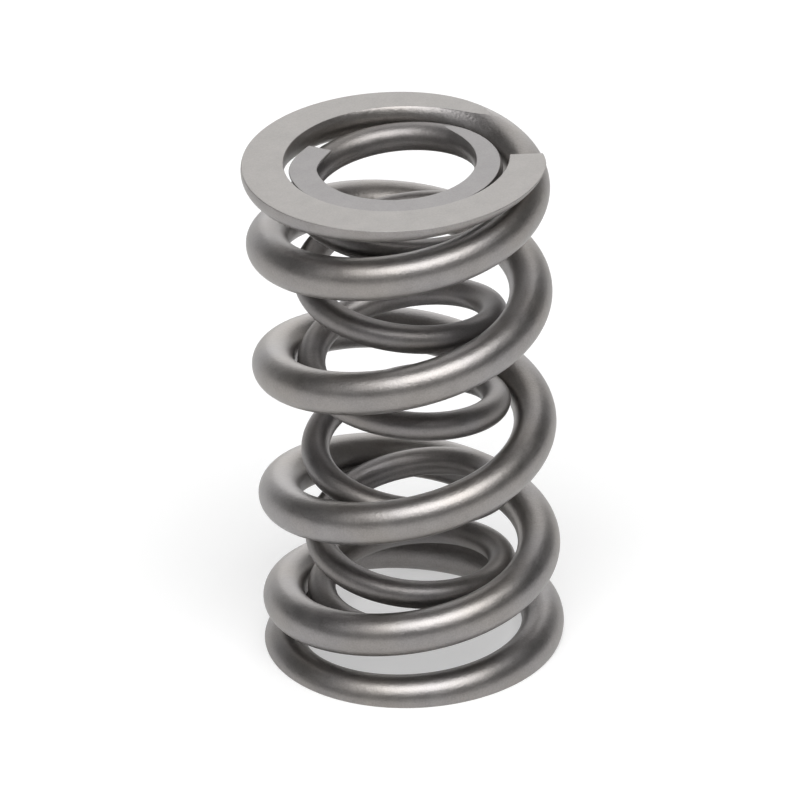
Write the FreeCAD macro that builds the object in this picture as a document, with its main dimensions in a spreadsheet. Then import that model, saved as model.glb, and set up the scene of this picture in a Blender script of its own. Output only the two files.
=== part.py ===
import FreeCAD, Part
import math
import os

# A dual valve spring for an engine: a right-hand outer coil with a left-hand inner coil nested in it.
# Each coil is one length of round wire, wound with closed ends that are then ground flat.
# Millimetres, +Z up. The origin is the centre of the outer coil's lower ground face.

doc = FreeCAD.newDocument("valve_spring")

# Driving sizes: the cell's name, its value and what it measures. Lengths are in mm, angles in degrees.
SIZES = [
    ("outer_diameter", 33.1, "outside diameter of the outer coil's body"),
    ("outer_wire", 4.7, "wire diameter of the outer coil"),
    ("outer_length", 59.1, "free length of the outer coil between its ground faces"),
    ("outer_turns", 5.63, "turns of the outer coil from tip to tip"),
    ("outer_closed", 0.77, "turns at each end wound at the closed pitch"),
    ("outer_opening", 0.13, "turns over which the pitch opens to the second coil's"),
    ("outer_second_share", 0.65, "second coil's share of the full opening of the pitch"),
    ("outer_second_end", 1.65, "turns from each tip at which the second coil ends"),
    ("outer_second_opening", 0.3, "turns over which the pitch then opens in full"),
    ("outer_tip", 1.3, "thickness left at the outer coil's ground tips"),
    ("outer_tip_gap", 0.12, "gap under each tip, to the turn that it closes on"),
    ("outer_tip_angle", 0.0, "where the upper tip ends, from +X and counterclockwise"),
    ("outer_end_growth", 0.22, "growth in radius of the end turns"),
    ("outer_end_run", 1.5, "turns over which that growth dies away"),
    ("coil_clearance", 0.24, "radial clearance between the two coils"),
    ("inner_wire", 3.1, "wire diameter of the inner coil"),
    ("inner_length", 53.4, "free length of the inner coil between its ground faces"),
    ("inner_turns", 6.635, "turns of the inner coil from tip to tip"),
    ("inner_closed", 0.4, "turns at each end wound at the closed pitch"),
    ("inner_opening", 1.17, "turns over which the pitch then opens in full"),
    ("inner_tip", 1.17, "thickness left at the inner coil's ground tips"),
    ("inner_tip_gap", 0.3, "gap under each tip, to the turn that it closes on"),
    ("inner_tip_angle", 151.5, "where the upper tip ends, from +X and counterclockwise"),
    ("inner_end_growth", -0.82, "growth in radius of the end turns: the tips curl inward"),
    ("inner_end_run", 0.1, "turns over which that curl dies away"),
    ("inner_step", 0.5, "depth of the inner coil's upper face below the outer coil's"),
]

sheet = doc.addObject("Spreadsheet::Sheet", "sizes")
for row, (name, value, meaning) in enumerate(SIZES, start=1):
    sheet.set(f"A{row}", name)
    sheet.set(f"B{row}", str(value))
    sheet.setAlias(f"B{row}", name)
    sheet.set(f"C{row}", meaning)
doc.recompute()


def size(name):
    return float(getattr(sheet, name))


# The pitch tool opens in steps, counted in turns from each tip: where a step starts, how many turns
# it takes, and its share of the opening. The outer coil's second turn is wound tighter than its body,
# so that it closes first when the valve opens and the spring surges less.
STEPS = {
    "outer": [
        (size("outer_closed"), size("outer_opening"), size("outer_second_share")),
        (size("outer_second_end"), size("outer_second_opening"), 1 - size("outer_second_share")),
    ],
    "inner": [(size("inner_closed"), size("inner_opening"), 1.0)],
}


def opened(turn, steps):
    """Integral, from a tip up to turn, of the pitch tool's opening: 0 in the closed end, 1 in the body."""
    total = 0.0
    for start, span, share in steps:
        if turn >= start + span:
            total += share * (turn - start - span / 2)
        elif turn > start:
            total += share * (turn - start) ** 2 / (2 * span)
    return total


def pitches(wire, length, turns, steps, tip, tip_gap):
    """Closed and open pitch that leave tip_gap under each tip and give the free length after grinding."""
    first_turn_drop = wire + tip_gap
    half_rise = (length + wire) / 2 - tip
    first_open = opened(1.0, steps)
    half_open = opened(turns / 2, steps)
    first_shut = 1.0 - first_open
    half_shut = turns / 2 - half_open
    scale = first_shut * half_open - half_shut * first_open
    closed_pitch = (first_turn_drop * half_open - half_rise * first_open) / scale
    open_pitch = (first_shut * half_rise - half_shut * first_turn_drop) / scale
    return closed_pitch, open_pitch


def centre_line(coil, radius, hand):
    """Points along the wire's centre from the lower tip to the upper one, with z=0 at the lower face."""
    wire = size(f"{coil}_wire")
    length = size(f"{coil}_length")
    turns = size(f"{coil}_turns")
    tip = size(f"{coil}_tip")
    tip_angle = math.radians(size(f"{coil}_tip_angle"))
    tip_gap = size(f"{coil}_tip_gap")
    growth = size(f"{coil}_end_growth")
    run = size(f"{coil}_end_run")
    steps = STEPS[coil]
    closed_pitch, open_pitch = pitches(wire, length, turns, steps, tip, tip_gap)
    spans = math.ceil(turns * POINTS_PER_TURN)
    points = []
    for index in range(spans + 1):
        turn = turns * index / spans
        from_end = min(turn, turns - turn)
        wide = opened(from_end, steps)
        rise = tip - wire / 2 + closed_pitch * (from_end - wide) + open_pitch * wide
        height = rise if turn <= turns / 2 else length - rise
        reach = radius + growth * max(0.0, 1 - (from_end / run) ** 2) ** 2
        angle = tip_angle - hand * 2 * math.pi * (turns - turn)
        points.append(FreeCAD.Vector(reach * math.cos(angle), reach * math.sin(angle), height))
    return points


POINTS_PER_TURN = 32
EDGES_PER_TURN = 2


def wire_path(coil, points, turns):
    """The centre line as one smooth curve, cut into short edges that the sweep follows closely."""
    curve = Part.BSplineCurve()
    curve.interpolate(points)
    edges = math.ceil(turns * EDGES_PER_TURN)
    start = curve.FirstParameter
    step = (curve.LastParameter - start) / edges
    pieces = [Part.Edge(curve, start + step * k, start + step * (k + 1)) for k in range(edges)]
    path = doc.addObject("Part::Feature", f"{coil}_path")
    path.Shape = Part.Wire(pieces)
    path.Placement = FreeCAD.Placement()
    return path, curve.tangent(start)[0], edges


def ground_spring(coil, radius, hand):
    """Sweeps the round wire along its path and keeps what lies between the two grinding wheels."""
    points = centre_line(coil, radius, hand)
    path, heading, edges = wire_path(coil, points, size(f"{coil}_turns"))

    section = doc.addObject("Part::Circle", f"{coil}_section")
    section.setExpression("Radius", f"sizes.{coil}_wire / 2")
    section.Placement = FreeCAD.Placement(points[0], FreeCAD.Rotation(FreeCAD.Vector(0, 0, 1), heading))

    wound = doc.addObject("Part::Sweep", f"{coil}_wound")
    wound.Sections = [section]
    wound.Spine = (path, [f"Edge{k + 1}" for k in range(edges)])
    wound.Solid = True
    wound.Frenet = True

    between_wheels = doc.addObject("Part::Cylinder", f"{coil}_between_wheels")
    between_wheels.setExpression("Radius", "sizes.outer_diameter")
    between_wheels.setExpression("Height", f"sizes.{coil}_length")

    spring = doc.addObject("Part::Common", f"{coil}_spring")
    spring.Label = f"{coil}_spring"
    spring.Base = wound
    spring.Tool = between_wheels
    return spring


# Outer coil: right-hand, the one that the seat and the retainer bear on.
outer_radius = (size("outer_diameter") - size("outer_wire")) / 2
outer_spring = ground_spring("outer", outer_radius, 1)

# Inner coil: left-hand, so that its turns can't drop between the outer's. It fits inside the outer
# coil, with its upper face a step below the other, where the retainer's inner step bears on it.
inner_radius = outer_radius - size("outer_wire") / 2 - size("coil_clearance") - size("inner_wire") / 2
inner_spring = ground_spring("inner", inner_radius, -1)
inner_spring.setExpression(
    "Placement.Base.z", "sizes.outer_length - sizes.inner_step - sizes.inner_length"
)

doc.recompute()

for item in doc.Objects:
    if "Invalid" in item.State or "Error" in item.State:
        raise RuntimeError(f"{item.Name} did not build: {item.State}")

os.makedirs("parts", exist_ok=True)
for spring in (outer_spring, inner_spring):
    shape = spring.Shape
    if shape.isNull() or not shape.isValid() or len(shape.Solids) != 1:
        raise RuntimeError(f"{spring.Label} is not one sound solid")
    shape.exportStep(f"parts/{spring.Label}.step")
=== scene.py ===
import math

import bpy
import numpy as np
from mathutils import Matrix, Vector


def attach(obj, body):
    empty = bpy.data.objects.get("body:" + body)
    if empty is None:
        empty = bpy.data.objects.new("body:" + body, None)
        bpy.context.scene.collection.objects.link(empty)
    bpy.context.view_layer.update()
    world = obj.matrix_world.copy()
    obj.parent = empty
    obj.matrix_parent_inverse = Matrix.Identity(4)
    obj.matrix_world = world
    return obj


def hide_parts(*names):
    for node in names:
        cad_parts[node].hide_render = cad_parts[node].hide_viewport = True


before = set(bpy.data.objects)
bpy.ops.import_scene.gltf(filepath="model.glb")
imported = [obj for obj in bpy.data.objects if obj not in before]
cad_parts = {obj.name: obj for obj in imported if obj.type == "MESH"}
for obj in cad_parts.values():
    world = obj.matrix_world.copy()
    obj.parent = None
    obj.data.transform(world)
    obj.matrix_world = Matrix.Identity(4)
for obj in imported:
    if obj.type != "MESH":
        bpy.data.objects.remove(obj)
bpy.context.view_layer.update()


# The outer coil: one length of round spring steel wire, wound right-hand with a pitch that closes at
# both ends. Its ends are ground flat, so that the seat and the retainer bear on a full ring, and the
# whole coil is then shot-peened, which leaves it satin grey.

OUTER = {
    "hand": 1,
    "wire": 0.0047,
    "radius": 0.0142,
    "length": 0.0591,
    "lower_face": 0.0,
    "turns": 5.63,
    "steps": ((0.77, 0.13, 0.65), (1.65, 0.3, 0.35)),
    "tip": 0.0013,
    "tip_gap": 0.00012,
    "tip_angle": 0.0,
    "end_growth": 0.00022,
    "end_run": 1.5,
    "corner_wear": 0.25,
}
OUTER_WIRE_COLOUR = (0.314, 0.298, 0.291)
OUTER_FACE_COLOUR = (0.39, 0.373, 0.36)
OUTER_ROUGHNESS = 0.4

STEPS_PER_TURN = 150
ARC_STEPS = 14
CAP_STEPS = 10
FILLET_STEPS = 4
EDGE_ROUNDING = 0.00009
TIP_ROUNDING = 0.00015
CORNER_RUN = 0.0038


def opened(turn, coil):
    """Integral from a tip of how far the pitch has opened, summed over the steps it opens in.

    Each step has its start and span in turns and its share of the opening, and rises evenly over its span.
    """
    total = 0.0
    for start, span, share in coil["steps"]:
        inside = np.clip(turn - start, 0, span)
        past = np.clip(turn - start - span, 0, None)
        total = total + share * (inside**2 / (2 * span) + past)
    return total


def pitches(coil):
    """Closed and open pitch of the wire.

    The first turn drops by a wire and its gap, and half the turns rise to the middle of the free length.
    """
    first_drop = coil["wire"] + coil["tip_gap"]
    half_rise = (coil["length"] + coil["wire"]) / 2 - coil["tip"]
    first_open = float(opened(np.array(1.0), coil))
    half_open = float(opened(np.array(coil["turns"] / 2), coil))
    first_shut = 1 - first_open
    half_shut = coil["turns"] / 2 - half_open
    scale = first_shut * half_open - half_shut * first_open
    closed_pitch = (first_drop * half_open - half_rise * first_open) / scale
    open_pitch = (first_shut * half_rise - half_shut * first_drop) / scale
    return closed_pitch, open_pitch


def centre_line(turn, coil):
    """Wire centre at each turn from the lower tip: radius and angle make a circle, height sums the pitch."""
    closed_pitch, open_pitch = pitches(coil)
    from_end = np.minimum(turn, coil["turns"] - turn)
    wide = opened(from_end, coil)
    rise = coil["tip"] - coil["wire"] / 2 + closed_pitch * (from_end - wide) + open_pitch * wide
    height = coil["lower_face"] + np.where(turn <= coil["turns"] / 2, rise, coil["length"] - rise)
    fade = np.clip(1 - (from_end / coil["end_run"]) ** 2, 0, None) ** 2
    reach = coil["radius"] + coil["end_growth"] * fade
    angle = coil["tip_angle"] - coil["hand"] * 2 * math.pi * (coil["turns"] - turn)
    return np.stack([reach * np.cos(angle), reach * np.sin(angle), height], axis=-1)


# How soon the points of a round top spread out past the ground face, as a share of the wire's radius
FAN_RUN = 0.2


def cap_outline(cut, radius):
    """One ground side of the wire's section, from its right corner to its left, for each cut height.

    Where the cut is lower than the radius it is fillet, chord, fillet: the fillet's circle touches the
    wire's circle from inside and the chord from below. Elsewhere the points lie on the wire's circle,
    over an angle that opens smoothly from nothing as the cut leaves the wire.
    """
    ground = cut < radius
    level = np.where(ground, cut, radius) - EDGE_ROUNDING
    middle = np.sqrt(np.clip((radius - EDGE_ROUNDING) ** 2 - level**2, 0, None))
    corner = np.arctan2(level, middle)
    share = np.linspace(0, 1, FILLET_STEPS + 1)
    sweep = corner[:, None] + (math.pi / 2 - corner[:, None]) * share
    right = np.stack([middle[:, None] + EDGE_ROUNDING * np.cos(sweep),
                      level[:, None] + EDGE_ROUNDING * np.sin(sweep)], axis=-1)
    left = right[:, ::-1] * [-1, 1]
    across = np.cos(np.linspace(0, math.pi, CAP_STEPS + 1))[1:-1]
    height = np.broadcast_to((level + EDGE_ROUNDING)[:, None], (len(cut), CAP_STEPS - 1))
    chord = np.stack([middle[:, None] * across, height], axis=-1)
    flat = np.concatenate([right, chord, left], axis=1)
    half_angle = math.pi / 4 * (1 - np.exp(-np.clip(cut / radius - 1, 0, None) / FAN_RUN))
    fan = math.pi / 2 + half_angle[:, None] * np.linspace(-1, 1, flat.shape[1])
    round_top = radius * np.stack([np.cos(fan), np.sin(fan)], axis=-1)
    return np.where(ground[:, None, None], flat, round_top), ground


# Turns between two points of the centre line that give the wire's direction, each way
NUDGE = 1e-4


def wire_sections(turn, coil):
    """Closed outline of the wire at each turn, as points in its section's plane, with its frame.

    They run counterclockwise: upper cap, left arc, lower cap, right arc. Towards a cut end the outer
    half narrows with the square of how near the end is, where its corner is worn. The last result is
    how far each point belongs to a ground face: 1 on the face, falling to 0 across its fillets.
    """
    radius = coil["wire"] / 2
    centre = centre_line(turn, coil)
    along = centre_line(turn + NUDGE, coil) - centre_line(turn - NUDGE, coil)
    along /= np.linalg.norm(along, axis=1)[:, None]
    outward = coil["hand"] * np.cross(along, [0, 0, 1])
    outward /= np.linalg.norm(outward, axis=1)[:, None]
    upward = coil["hand"] * np.cross(outward, along)
    above = (coil["lower_face"] + coil["length"] - centre[:, 2]) / upward[:, 2]
    below = (centre[:, 2] - coil["lower_face"]) / upward[:, 2]
    upper, upper_ground = cap_outline(above, radius)
    lower, lower_ground = cap_outline(below, radius)
    lower = -lower
    share = np.linspace(0, 1, ARC_STEPS + 1)[1:-1]

    def arc(start, end):
        """Points on the wire's circle between two outline points, evenly by angle, counterclockwise."""
        first = np.arctan2(start[:, 1], start[:, 0])
        turned = (np.arctan2(end[:, 1], end[:, 0]) - first) % (2 * math.pi)
        angle = first[:, None] + turned[:, None] * share
        return radius * np.stack([np.cos(angle), np.sin(angle)], axis=-1)

    left = arc(upper[:, -1], lower[:, 0])
    right = arc(lower[:, -1], upper[:, 0])
    outline = np.concatenate([upper, left, lower, right], axis=1)
    from_cut = np.minimum(turn, coil["turns"] - turn) * 2 * math.pi * coil["radius"]
    worn = 1 - coil["corner_wear"] * np.clip(1 - from_cut / CORNER_RUN, 0, 1) ** 2
    outline[..., 0] *= np.where(outline[..., 0] > 0, worn[:, None], 1)
    cap = np.ones(upper.shape[1])
    cap[:FILLET_STEPS] = np.arange(FILLET_STEPS) / FILLET_STEPS
    cap[-FILLET_STEPS:] = cap[:FILLET_STEPS][::-1]
    bare = np.zeros((len(turn), ARC_STEPS - 1))
    ground = np.concatenate([upper_ground[:, None] * cap, bare, lower_ground[:, None] * cap, bare], axis=1)
    return centre, along, outward, upward, outline, ground


# The rings that close a cut end: round its edge by these angles, then in to these shares of its outline
EDGE_BENDS = (30, 60, 90)
END_SHARES = (0.85, 0.5, 0.2)
LEAST_SHRINK = 0.2


def tip_rings(outline, centre, along, outward, upward, way):
    """Closes a cut end: the outline shrinks round a small quarter circle, then to its middle."""
    middle = outline.mean(axis=0)
    spokes = outline - middle
    length = np.linalg.norm(spokes, axis=1)[:, None]
    rings = []
    for bend in np.radians(EDGE_BENDS):
        shrink = np.clip(1 - TIP_ROUNDING * (1 - math.cos(bend)) / length, LEAST_SHRINK, 1)
        rings.append((middle + spokes * shrink, TIP_ROUNDING * math.sin(bend)))
    rounded = rings[-1][0]
    for share in END_SHARES:
        rings.append((middle + (rounded - middle) * share, TIP_ROUNDING))
    places = []
    for flat, out in rings:
        places.append(centre + flat[:, :1] * outward + flat[:, 1:] * upward + way * out * along)
    places.append((centre + middle[0] * outward + middle[1] * upward + way * TIP_ROUNDING * along)[None])
    return places


def coil_piece(name, coil):
    """Wire surface over turn and section angle, with both cut ends closed, as one mesh object."""
    inset = TIP_ROUNDING / (2 * math.pi * coil["radius"])
    sections = int(coil["turns"] * STEPS_PER_TURN) + 1
    turn = np.linspace(inset, coil["turns"] - inset, sections)
    centre, along, outward, upward, outline, ground = wire_sections(turn, coil)
    tube = centre[:, None] + outline[..., :1] * outward[:, None] + outline[..., 1:] * upward[:, None]
    around = outline.shape[1]
    first = tip_rings(outline[0], centre[0], along[0], outward[0], upward[0], -1)
    last = tip_rings(outline[-1], centre[-1], along[-1], outward[-1], upward[-1], 1)
    rings = [*first[-2::-1], *tube, *last[:-1]]
    points = np.concatenate([*rings, first[-1], last[-1]])
    bare_end = np.zeros((len(first) - 1) * around)
    marks = np.concatenate([bare_end, ground.ravel(), bare_end, np.zeros(2)])

    row = np.arange(len(rings) - 1)[:, None] * around
    column = np.arange(around)
    beside = (column + 1) % around
    quads = np.stack([row + column, row + beside, row + around + beside, row + around + column], axis=-1)
    quads = quads.reshape(-1, 4)
    end_row = (len(rings) - 1) * around
    first_middle = np.full(around, len(rings) * around)
    start_fan = np.stack([beside, column, first_middle], axis=-1)
    end_fan = np.stack([end_row + column, end_row + beside, first_middle + 1], axis=-1)
    if coil["hand"] > 0:
        quads, start_fan, end_fan = quads[:, ::-1], start_fan[:, ::-1], end_fan[:, ::-1]

    mesh = bpy.data.meshes.new(name)
    mesh.from_pydata(points.tolist(), [], [*quads.tolist(), *start_fan.tolist(), *end_fan.tolist()])
    mesh.shade_smooth()
    mark = mesh.attributes.new("ground", "FLOAT", "POINT")
    mark.data.foreach_set("value", marks)
    mesh.update()
    piece = bpy.data.objects.new(name, mesh)
    bpy.context.collection.objects.link(piece)
    return piece


class Value:
    """A number on a socket: each operator on it adds a Math node to its tree."""

    def __init__(self, nodes, socket):
        self.nodes = nodes
        self.socket = socket

    def math(self, operation, *terms):
        return self.nodes.node("ShaderNodeMath", {"operation": operation}, dict(enumerate(terms)))

    def __add__(self, other):
        return self.math("ADD", self, other)

    def __sub__(self, other):
        return self.math("SUBTRACT", self, other)

    def __rsub__(self, other):
        return self.math("SUBTRACT", other, self)

    def __mul__(self, other):
        return self.math("MULTIPLY", self, other)

    def __pow__(self, other):
        return self.math("POWER", self, other)

    def __abs__(self):
        return self.math("ABSOLUTE", self)

    def at_least(self, other):
        return self.math("MAXIMUM", self, other)

    __radd__ = __add__
    __rmul__ = __mul__


class Nodes:
    """The node tree of a material or of the surround, with one method that adds any node."""

    def __init__(self, owner):
        owner.use_nodes = True
        self.tree = owner.node_tree

    def node(self, kind, settings, sockets, output=0):
        """Adds a node: its settings first, then the value or the link of each socket that is named."""
        added = self.tree.nodes.new(kind)
        for key, setting in settings.items():
            setattr(added, key, setting)
        for key, value in sockets.items():
            self.feed(added.inputs[key], value)
        return Value(self, added.outputs[output])

    def feed(self, place, value):
        """Gives a socket its link or its constant."""
        if isinstance(value, Value):
            self.tree.links.new(value.socket, place)
        else:
            place.default_value = value


# The finish. A mottle darkens and lightens a colour by its share, a tint scales its red, green and blue.
WIRE_MOTTLE = 0.4
FACE_MOTTLE = 0.3
BARE_TINT = (1.01, 1.0, 0.97)
BLUED_TINT = (0.985, 0.995, 1.01)
PATCH_CONTRAST = 3
FACE_METAL = 0.25
FACE_ROUGHNESS = 0.57
ROUGHNESS_SPREAD = 0.25
DENT_DEPTH = 0.00003
WHEEL_MARK_SHARE = 0.35


def spring_steel(name, wire_colour, face_colour, roughness):
    """Shot-peened wire with tiny dents and a mottle, here and there faintly blued by its tempering.

    Where the "ground" attribute is 1 it is a ground face: paler, less metallic, with fine wheel marks.
    """
    material = bpy.data.materials.new(name)
    steel = Nodes(material)
    place = steel.node("ShaderNodeTexCoord", {}, {}, output="Object")
    ground = steel.node("ShaderNodeAttribute", {"attribute_name": "ground"}, {}, output="Fac")

    def noise(scale, detail, roughness):
        """Noise in the coil's own space, with its scale in cycles per metre."""
        return steel.node("ShaderNodeTexNoise", {},
                          {"Vector": place, "Scale": scale, "Detail": detail, "Roughness": roughness})

    def mix(factor, first, second):
        """Mixes two colours, on the colour sockets of a Mix node, which share their names with others."""
        return steel.node("ShaderNodeMix", {"data_type": "RGBA"}, {0: factor, 6: first, 7: second}, output=2)

    def mottled(colour, tint, spread):
        """The tinted colour, darker and lighter by the spread as the mottle goes from 0 to 1."""
        dark, light = (tuple(side * (hue * part) for hue, part in zip(tint, colour)) + (1.0,)
                       for side in (1 - spread, 1 + spread))
        return mix(mottle, dark, light)

    dents = noise(2600.0, 3.0, 0.6)
    grain = noise(5200.0, 2.0, 0.5)
    wheel = noise(9000.0, 2.0, 0.6)
    mottle = 0.5 * (noise(420.0, 4.0, 0.6) + grain)
    patches = PATCH_CONTRAST * (noise(130.0, 1.0, 0.5) - 0.5) + 0.5
    wire = mix(patches, mottled(wire_colour, BARE_TINT, WIRE_MOTTLE),
               mottled(wire_colour, BLUED_TINT, WIRE_MOTTLE))
    face = mottled(face_colour, (1, 1, 1), FACE_MOTTLE)
    height = dents * (1 - ground) + WHEEL_MARK_SHARE * wheel * ground
    bump = steel.node("ShaderNodeBump", {}, {"Strength": 1.0, "Distance": DENT_DEPTH, "Height": height})
    shader = material.node_tree.nodes["Principled BSDF"].inputs
    steel.feed(shader["Base Color"], mix(ground, wire, face))
    steel.feed(shader["Metallic"], 1 - (1 - FACE_METAL) * ground)
    steel.feed(shader["Roughness"],
               roughness + ROUGHNESS_SPREAD * (mottle - 0.5) + (FACE_ROUGHNESS - roughness) * ground)
    steel.feed(shader["Normal"], bump)
    return material


outer = coil_piece("outer_coil", OUTER)
outer.data.materials.append(
    spring_steel("outer_wire_steel", OUTER_WIRE_COLOUR, OUTER_FACE_COLOUR, OUTER_ROUGHNESS))
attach(outer, "root")
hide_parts("outer_spring")


# The inner coil: a thinner wire wound left-hand, so that its turns can't drop between the outer ones.
# It is a close fit in the outer coil and a little shorter, with its upper face just below the other.
# Its finish is the outer coil's, a little rougher, and painted darker as shade from the outer coil around
# it.

INNER = {
    "hand": -1,
    "wire": 0.0031,
    "radius": 0.01006,
    "length": 0.0534,
    "lower_face": 0.0052,
    "turns": 6.635,
    "steps": ((0.4, 1.17, 1.0),),
    "tip": 0.00117,
    "tip_gap": 0.0003,
    "tip_angle": math.radians(151.5),
    "end_growth": -0.00082,
    "end_run": 0.1,
    "corner_wear": 0.1,
}
# Painted shade: the inner coil's wire and face colours are darker than the outer coil's to stand in for the
# shade that the outer coil casts on it.
INNER_WIRE_SHADED_COLOUR = (0.246, 0.233, 0.229)
INNER_FACE_SHADED_COLOUR = (0.332, 0.32, 0.319)
INNER_ROUGHNESS = 0.45

inner = coil_piece("inner_coil", INNER)
inner.data.materials.append(
    spring_steel("inner_wire_steel", INNER_WIRE_SHADED_COLOUR, INNER_FACE_SHADED_COLOUR, INNER_ROUGHNESS))
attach(inner, "root")
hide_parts("inner_spring")


# The table that the pair stands on: plain matt white, with the soft shadow of the coils on it. It also
# glows, to the eye and in metal and glass, and more where it is far from the pair and the lamps, so
# that it is about white all over. The glow throws no light.

TABLE_SIZE = 8.0
TABLE_COLOUR = (0.6, 0.6, 0.6, 1)
TABLE_ROUGHNESS = 0.8

# The glow up to the near distance from the pair and from the far one on, smooth between them
NEAR, FAR = 0.4, 1.8
NEAR_GLOW, FAR_GLOW = 0.45, 0.9
GLOW_IN_METAL = 0.8

table_mesh = bpy.data.meshes.new("table")
side = TABLE_SIZE / 2
table_mesh.from_pydata([(-side, -side, 0), (side, -side, 0), (side, side, 0), (-side, side, 0)],
                       [], [(0, 1, 2, 3)])
table = bpy.data.objects.new("table", table_mesh)
bpy.context.collection.objects.link(table)
paper = bpy.data.materials.new("matt_white")
white = Nodes(paper)
eye, metal, glass = (white.node("ShaderNodeLightPath", {}, {}, output=f"Is {ray} Ray")
                     for ray in ("Camera", "Glossy", "Transmission"))
place = white.node("ShaderNodeTexCoord", {}, {}, output="Object")
reach = white.node("ShaderNodeVectorMath", {"operation": "LENGTH"}, {"Vector": place}, output="Value")
glow = white.node("ShaderNodeMapRange", {"interpolation_type": "SMOOTHSTEP"},
                  {"Value": reach, "From Min": NEAR, "From Max": FAR,
                   "To Min": NEAR_GLOW, "To Max": FAR_GLOW})
shader = paper.node_tree.nodes["Principled BSDF"].inputs
white.feed(shader["Base Color"], TABLE_COLOUR)
white.feed(shader["Roughness"], TABLE_ROUGHNESS)
white.feed(shader["Emission Color"], (1, 1, 1, 1))
white.feed(shader["Emission Strength"], glow * (eye + GLOW_IN_METAL * (metal + glass)))
table_mesh.materials.append(paper)


# Soft studio light: a large soft box above and in front of the pair, a weak fill at its left, and two
# weak panels behind it, one low and one high. The surround is dim, paler behind the pair, and has a
# pale band where the table ends.

LIT_POINT = Vector((0, 0, 0.03))


def panel(name, azimuth, elevation, distance, width, height, radiance):
    """A soft light that faces the pair, placed by its direction in degrees from +X and from the table.

    Its power is pi times its area times the brightness that it shows.
    """
    light = bpy.data.lights.new(name, "AREA")
    light.shape = "RECTANGLE"
    light.size = width
    light.size_y = height
    light.energy = math.pi * width * height * radiance
    lamp = bpy.data.objects.new(name, light)
    bpy.context.collection.objects.link(lamp)
    turn, lift = math.radians(azimuth), math.radians(elevation)
    way = Vector((math.cos(turn) * math.cos(lift), math.sin(turn) * math.cos(lift), math.sin(lift)))
    lamp.location = LIT_POINT + distance * way
    lamp.rotation_euler = way.to_track_quat("Z", "Y").to_euler()


panel("soft_box", 278, 67, 1.2, 1.2, 0.9, 4.9)
panel("left_fill", 210, 40, 1.4, 0.9, 0.8, 0.55)
panel("back_strip", 84, 25, 1.4, 1.0, 0.95, 0.8)
panel("top_back", 88, 50, 1.3, 0.9, 0.6, 1.0)

# Heights of the two bands, as the sine of the angle up or down: full up to the first, gone at the second
LOW_BAND = (0.2, 0.72)
SKYLINE_BAND = (0.055, 0.08)
AIR_GLOW = 0.035
SKYLINE_GLOW = 0.8
LOW_GLOW = 0.09
BACK_GLOW = 1.25
BACK_FOCUS = 4

world = bpy.data.worlds.new("surround")
bpy.context.scene.world = world
air = Nodes(world)
way = air.node("ShaderNodeTexCoord", {}, {}, output="Generated")
backward, upward = (air.node("ShaderNodeSeparateXYZ", {}, {"Vector": way}, output=axis) for axis in "YZ")
low, skyline = (air.node("ShaderNodeMapRange", {"interpolation_type": "SMOOTHSTEP"},
                         {"Value": abs(upward), "From Min": full, "From Max": gone,
                          "To Min": 1.0, "To Max": 0.0})
                for full, gone in (LOW_BAND, SKYLINE_BAND))
behind = LOW_GLOW + BACK_GLOW * backward.at_least(0) ** BACK_FOCUS
backdrop = world.node_tree.nodes["Background"].inputs
air.feed(backdrop["Color"], (1, 1, 1, 1))
air.feed(backdrop["Strength"], AIR_GLOW + SKYLINE_GLOW * skyline + low * behind)


# The camera: a long lens, looking down on the pair along +Y, rolled a little as in the photograph.

ELEVATION = math.radians(28.98)
ROLL = math.radians(-2.35)
DISTANCE = 0.8849
AIM = np.array([0.0, 0.0, 0.0301])
OFF_CENTRE = np.array([0.000512, 0.000641])
LENS = 363.4

forward = np.array([0, math.cos(ELEVATION), -math.sin(ELEVATION)])
level = np.array([1.0, 0, 0])
upright = np.array([0, math.sin(ELEVATION), math.cos(ELEVATION)])
across = math.cos(ROLL) * level + math.sin(ROLL) * upright
up = -math.sin(ROLL) * level + math.cos(ROLL) * upright
stand = AIM - OFF_CENTRE[0] * across - OFF_CENTRE[1] * up - DISTANCE * forward

camera_data = bpy.data.cameras.new("camera")
camera_data.lens = LENS
camera_data.sensor_width = 36
camera_data.clip_start = 0.05
camera_data.clip_end = 20
camera = bpy.data.objects.new("camera", camera_data)
bpy.context.collection.objects.link(camera)
turned = np.eye(4)
turned[:3, 0], turned[:3, 1], turned[:3, 2], turned[:3, 3] = across, up, -forward, stand
camera.matrix_world = Matrix(turned.tolist())
bpy.context.scene.camera = camera
bpy.context.scene.view_settings.view_transform = "Standard"
